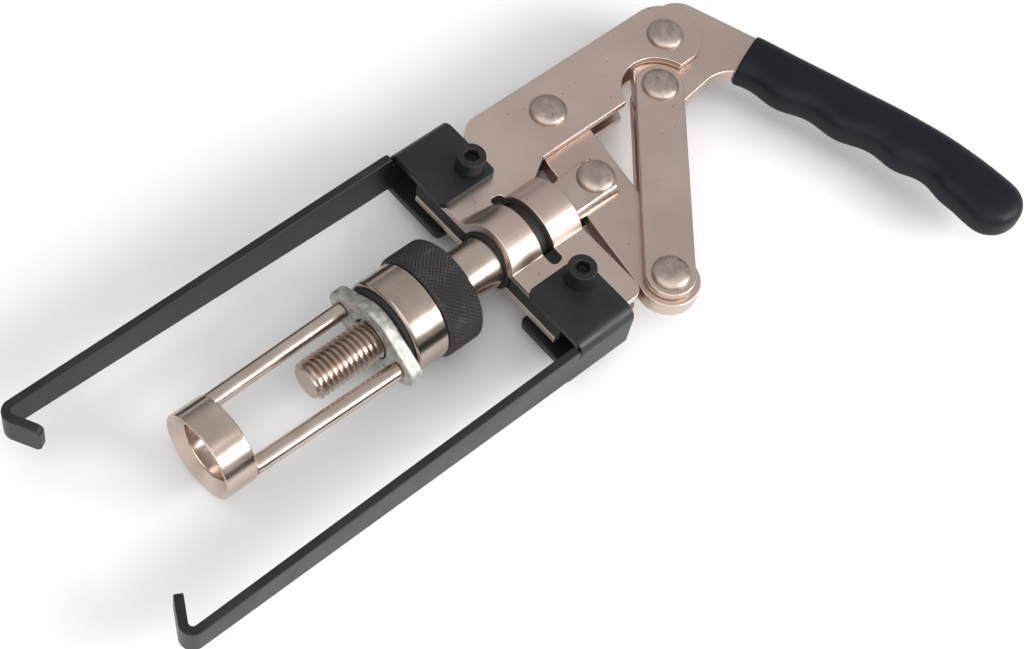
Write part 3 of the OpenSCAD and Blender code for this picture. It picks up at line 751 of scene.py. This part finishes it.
SPIGOT_R, SPIGOT_BORE, STUD_PASS, SHOULDER = 11.35, 8.35, 6.05, -72.4
OVER_WASHER, RIM_WALL, RIM_CHAMFER = 1.3, 1.3, 0.7
low, high = extent("nut_sleeve")
sleeve_r, rim_front = high.z, high.x + OVER_WASHER
fit("sleeve_turned", spun([
    (low.x, SPIGOT_BORE, 0.2), (low.x, SPIGOT_R, 0.2), (SHOULDER, SPIGOT_R, 0),
    (SHOULDER, sleeve_r - 0.4, 0), (SHOULDER + 0.5, sleeve_r, 0.15),
    (rim_front - RIM_CHAMFER, sleeve_r, 0.25), (rim_front, sleeve_r - RIM_CHAMFER, 0.25),
    (rim_front, sleeve_r - RIM_WALL, 0), (high.x, sleeve_r - RIM_WALL, 0),
    (high.x, STUD_PASS, 0.2), (SHOULDER, STUD_PASS, 0), (SHOULDER, SPIGOT_BORE, 0)]),
    "nut_sleeve", sleeve_nickel_painted_shade)

low, high = extent("thrust_washer")
fit("thrust_washer_turned", spun([
    (low.x, STUD_PASS, 0.2), (low.x, high.z, 0.25), (high.x, high.z, 0.25),
    (high.x, STUD_PASS, 0.2)]), "thrust_washer", matt_black_and_painted_shade)


# Cage: flange, rods and ring

FLANGE_EASE = 0.45
fit("cage_flange_plated", eased("cage_flange", FLANGE_EASE), "cage_flange", flange_zinc)

ROD_R, NECK_R, BACK_NECK, TIP_NECK = 2.55, 2.0, 4.3, 3.05
ROD_BACK, ROD_TIP = Vector((-60.4, 12.1, 0)), Vector((-4.4, 11.05, 0))


def drawn_rods():
    """Two straight rods with necked ends, leaning in from the flange to the ring."""
    run = ROD_TIP - ROD_BACK
    length = run.length
    rod = spun([(0, 0, 0), (0, NECK_R, 0.3), (BACK_NECK, NECK_R, 0), (BACK_NECK, ROD_R, 0.25),
                (length - TIP_NECK, ROD_R, 0.25), (length - TIP_NECK, NECK_R, 0),
                (length, NECK_R, 0.3), (length, 0, 0)], 48, False)
    lean = Matrix.Rotation(math.atan2(run.y, run.x), 4, "Z")
    bmesh.ops.transform(rod, verts=rod.verts, matrix=Matrix.Translation(ROD_BACK) @ lean)
    bmesh.ops.mirror(rod, geom=everything(rod), axis="Y", merge_dist=0.0001)
    return rod


fit("cage_rods_drawn", drawn_rods(), "cage_rods", bright_nickel)

RING_BORE, RING_LIP = 8.8, 0.7
low, high = extent("pressing_ring")
fit("pressing_ring_turned", spun([
    (low.x, RING_BORE, 0.4), (low.x, high.z, 0.5), (high.x, high.z, 0.35),
    (high.x, high.z - RING_LIP, 0.2), (0, RING_BORE, 0.4)]), "pressing_ring", bright_nickel)


# Floor, light and camera

FLOOR_HALF, FLOOR_GAP = 6, 0.0005
floor_mesh = bpy.data.meshes.new("floor")
floor_shape = bmesh.new()
bmesh.ops.create_grid(floor_shape, x_segments=1, y_segments=1, size=FLOOR_HALF)
bmesh.ops.translate(floor_shape, vec=(0, 0, solid_box[0].z - FLOOR_GAP), verts=floor_shape.verts)
floor_shape.to_mesh(floor_mesh)
floor_shape.free()
floor = bpy.data.objects.new("floor", floor_mesh)
bpy.context.scene.collection.objects.link(floor)
floor_finish = Finish("pale_floor", {"Roughness": 0.8})
floor_grain = floor_finish.noise(400, detail=2)
floor_finish.set("Base Color", floor_finish.blend(floor_grain, tint(0.86, 0.86, 0.86),
                                                  tint(0.9, 0.9, 0.9)))
floor_mesh.materials.append(floor_finish.material)


def soft_box(name, place, aim, width, height, power):
    """Soft rectangular lamp that looks at a point."""
    lamp = bpy.data.lights.new(name, "AREA")
    lamp.shape = "RECTANGLE"
    lamp.size, lamp.size_y, lamp.energy = width, height, power
    holder = bpy.data.objects.new(name, lamp)
    holder.location = place
    holder.rotation_mode = "QUATERNION"
    holder.rotation_quaternion = (Vector(aim) - Vector(place)).to_track_quat("-Z", "Y")
    bpy.context.scene.collection.objects.link(holder)


middle = Vector((-0.1, 0.0, 0.0))
soft_box("key_light", middle + 0.9 * Vector((-0.44, 0.77, 0.48)), middle,
         width=0.6, height=0.3, power=7)
soft_box("fill_light", middle + Vector((0.75, 0.55, 1.1)), middle,
         width=2.2, height=2.2, power=18)

sky = bpy.data.worlds.new("studio")
bpy.context.scene.world = sky
sky_light = Shading(sky, "Background", {"Strength": 1.0})
sky_height = sky_light.axes("Generated")[2]
sky_light.set("Color", sky_light.blend(sky_height.between(0.0, 0.6), tint(0.22, 0.22, 0.22),
                                       tint(0.6, 0.6, 0.6)))

# The camera's place and axes fit the straight edges of the legs, tabs and turned parts
FOCUS_PX, FRAME_PX, SENSOR = 2019.82, 1024, 36.0
CAMERA_AT = Vector((151.014, 191.583, 477.677)) * MM
RIGHT = Vector((-0.73731, 0.66170, 0.13613))
DOWN = Vector((0.52073, 0.68504, -0.50947))
AHEAD = Vector((-0.43037, -0.30475, -0.84965))
lens = bpy.data.cameras.new("camera")
lens.sensor_fit = "HORIZONTAL"
lens.sensor_width = SENSOR
lens.lens = FOCUS_PX * SENSOR / FRAME_PX
lens.clip_start, lens.clip_end = 0.01, 50
camera = bpy.data.objects.new("camera", lens)
facing = Matrix((RIGHT, -DOWN, -AHEAD)).transposed().to_4x4()
camera.matrix_world = Matrix.Translation(CAMERA_AT) @ facing
bpy.context.scene.collection.objects.link(camera)
bpy.context.scene.camera = camera
bpy.context.scene.view_settings.view_transform = "Standard"
